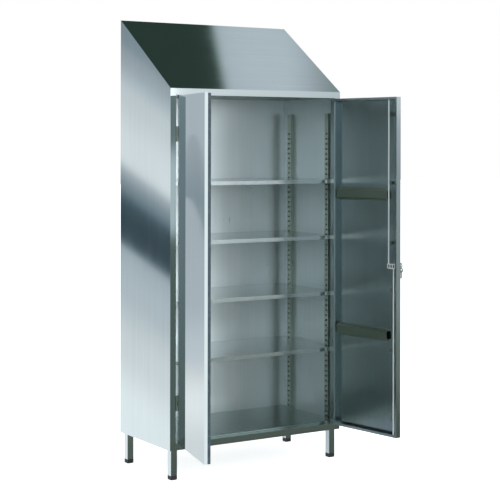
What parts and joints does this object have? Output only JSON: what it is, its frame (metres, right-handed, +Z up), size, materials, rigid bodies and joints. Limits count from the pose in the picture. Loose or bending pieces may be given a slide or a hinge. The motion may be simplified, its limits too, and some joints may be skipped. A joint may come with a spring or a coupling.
{
  "type": "storage cabinet",
  "caption": "Free-standing stainless steel cabinet with a sloping top, hinged double doors, adjustable shelves on slotted uprights, square legs and a keyed rod lock.",
  "frame": {"origin": "centre of the floor panel's underside, 178 mm above the ground", "axes": "+X to the right for someone facing the doors, +Y towards the back, +Z up"},
  "size_m": [1.1048, 0.9458, 2.14],
  "materials": {
    "panel_steel": "satin, fine grain",
    "door_steel": "satin, vertical grain",
    "shelf_steel": "satin, grain across the cabinet",
    "fitting_steel": "mill finish",
    "lock_metal": "nickel plate",
    "foot_plastic": "black, moulded"
  },
  "bodies": {
    "carcass": {"back_panel": "panel_steel", "base_rail": "panel_steel", "ceiling_panel": "panel_steel", "floor_panel": "panel_steel", "front_left_foot": "foot_plastic", "front_left_leg": "panel_steel", "front_left_upright": "fitting_steel", "front_right_foot": "foot_plastic", "front_right_leg": "panel_steel", "front_right_upright": "fitting_steel", "left_side_panel": "panel_steel", "lower_left_hinge_frame_leaf": "fitting_steel", "lower_right_hinge_frame_leaf": "fitting_steel", "rear_left_foot": "foot_plastic", "rear_left_leg": "panel_steel", "rear_left_upright": "fitting_steel", "rear_right_foot": "foot_plastic", "rear_right_leg": "panel_steel", "rear_right_upright": "fitting_steel", "right_side_panel": "panel_steel", "roof_panel": "panel_steel", "shelf_1": "shelf_steel", "shelf_1_front_left_clip": "fitting_steel", "shelf_1_front_right_clip": "fitting_steel", "shelf_1_rear_left_clip": "fitting_steel", "shelf_1_rear_right_clip": "fitting_steel", "shelf_2": "shelf_steel", "shelf_2_front_left_clip": "fitting_steel", "shelf_2_front_right_clip": "fitting_steel", "shelf_2_rear_left_clip": "fitting_steel", "shelf_2_rear_right_clip": "fitting_steel", "shelf_3": "shelf_steel", "shelf_3_front_left_clip": "fitting_steel", "shelf_3_front_right_clip": "fitting_steel", "shelf_3_rear_left_clip": "fitting_steel", "shelf_3_rear_right_clip": "fitting_steel", "shelf_4": "shelf_steel", "shelf_4_front_left_clip": "fitting_steel", "shelf_4_front_right_clip": "fitting_steel", "shelf_4_rear_left_clip": "fitting_steel", "shelf_4_rear_right_clip": "fitting_steel", "upper_left_hinge_frame_leaf": "fitting_steel", "upper_right_hinge_frame_leaf": "fitting_steel"},
    "left_door": {"left_door_lower_stiffener": "fitting_steel", "left_door_panel": "door_steel", "left_door_upper_stiffener": "fitting_steel", "lower_left_hinge_door_leaf": "fitting_steel", "upper_left_hinge_door_leaf": "fitting_steel"},
    "right_door": {"lower_right_hinge_door_leaf": "fitting_steel", "right_door_lower_stiffener": "fitting_steel", "right_door_panel": "door_steel", "right_door_upper_stiffener": "fitting_steel", "upper_right_hinge_door_leaf": "fitting_steel", "lock_body": "lock_metal"},
    "lock_turn": {"lock_cam": "lock_metal", "key": "lock_metal"},
    "upper_rod": {"upper_lock_rod": "fitting_steel"},
    "lower_rod": {"lower_lock_rod": "fitting_steel"},
    "key_ring": {"key_ring": "lock_metal", "spare_key": "lock_metal"}
  },
  "joints": [
    {"name": "left_door_hinge", "type": "hinge", "parent": "carcass", "child": "left_door", "pos_m": [-0.4434, -0.254, 0.8], "axis": [0, 0, 1], "range_deg": [-70.8, 104.2]},
    {"name": "right_door_hinge", "type": "hinge", "parent": "carcass", "child": "right_door", "pos_m": [0.4434, -0.254, 0.8], "axis": [0, 0, 1], "range_deg": [-98.5, 76.5]},
    {"name": "lock_cam_turn", "type": "hinge", "parent": "right_door", "child": "lock_turn", "pos_m": [0.49907, -0.65356, 0.792], "axis": [0.989, 0.1478, 0], "range_deg": [0, 90]},
    {"name": "upper_rod_slide", "type": "slide", "parent": "right_door", "child": "upper_rod", "axis": [0, 0, 1], "range_m": [0, 0.016]},
    {"name": "lower_rod_slide", "type": "slide", "parent": "right_door", "child": "lower_rod", "axis": [0, 0, -1], "range_m": [0, 0.016]},
    {"name": "key_ring_swing", "type": "hinge", "parent": "lock_turn", "child": "key_ring", "pos_m": [0.54486, -0.64672, 0.792], "axis": [0.989, 0.1478, 0], "range_deg": [-30, 30]}
  ],
  "couplings": [
    {"joint": "lock_cam_turn", "follows": "upper_rod_slide", "rad_per_m": 98.1},
    {"joint": "lower_rod_slide", "follows": "upper_rod_slide", "ratio": 1}
  ]
}
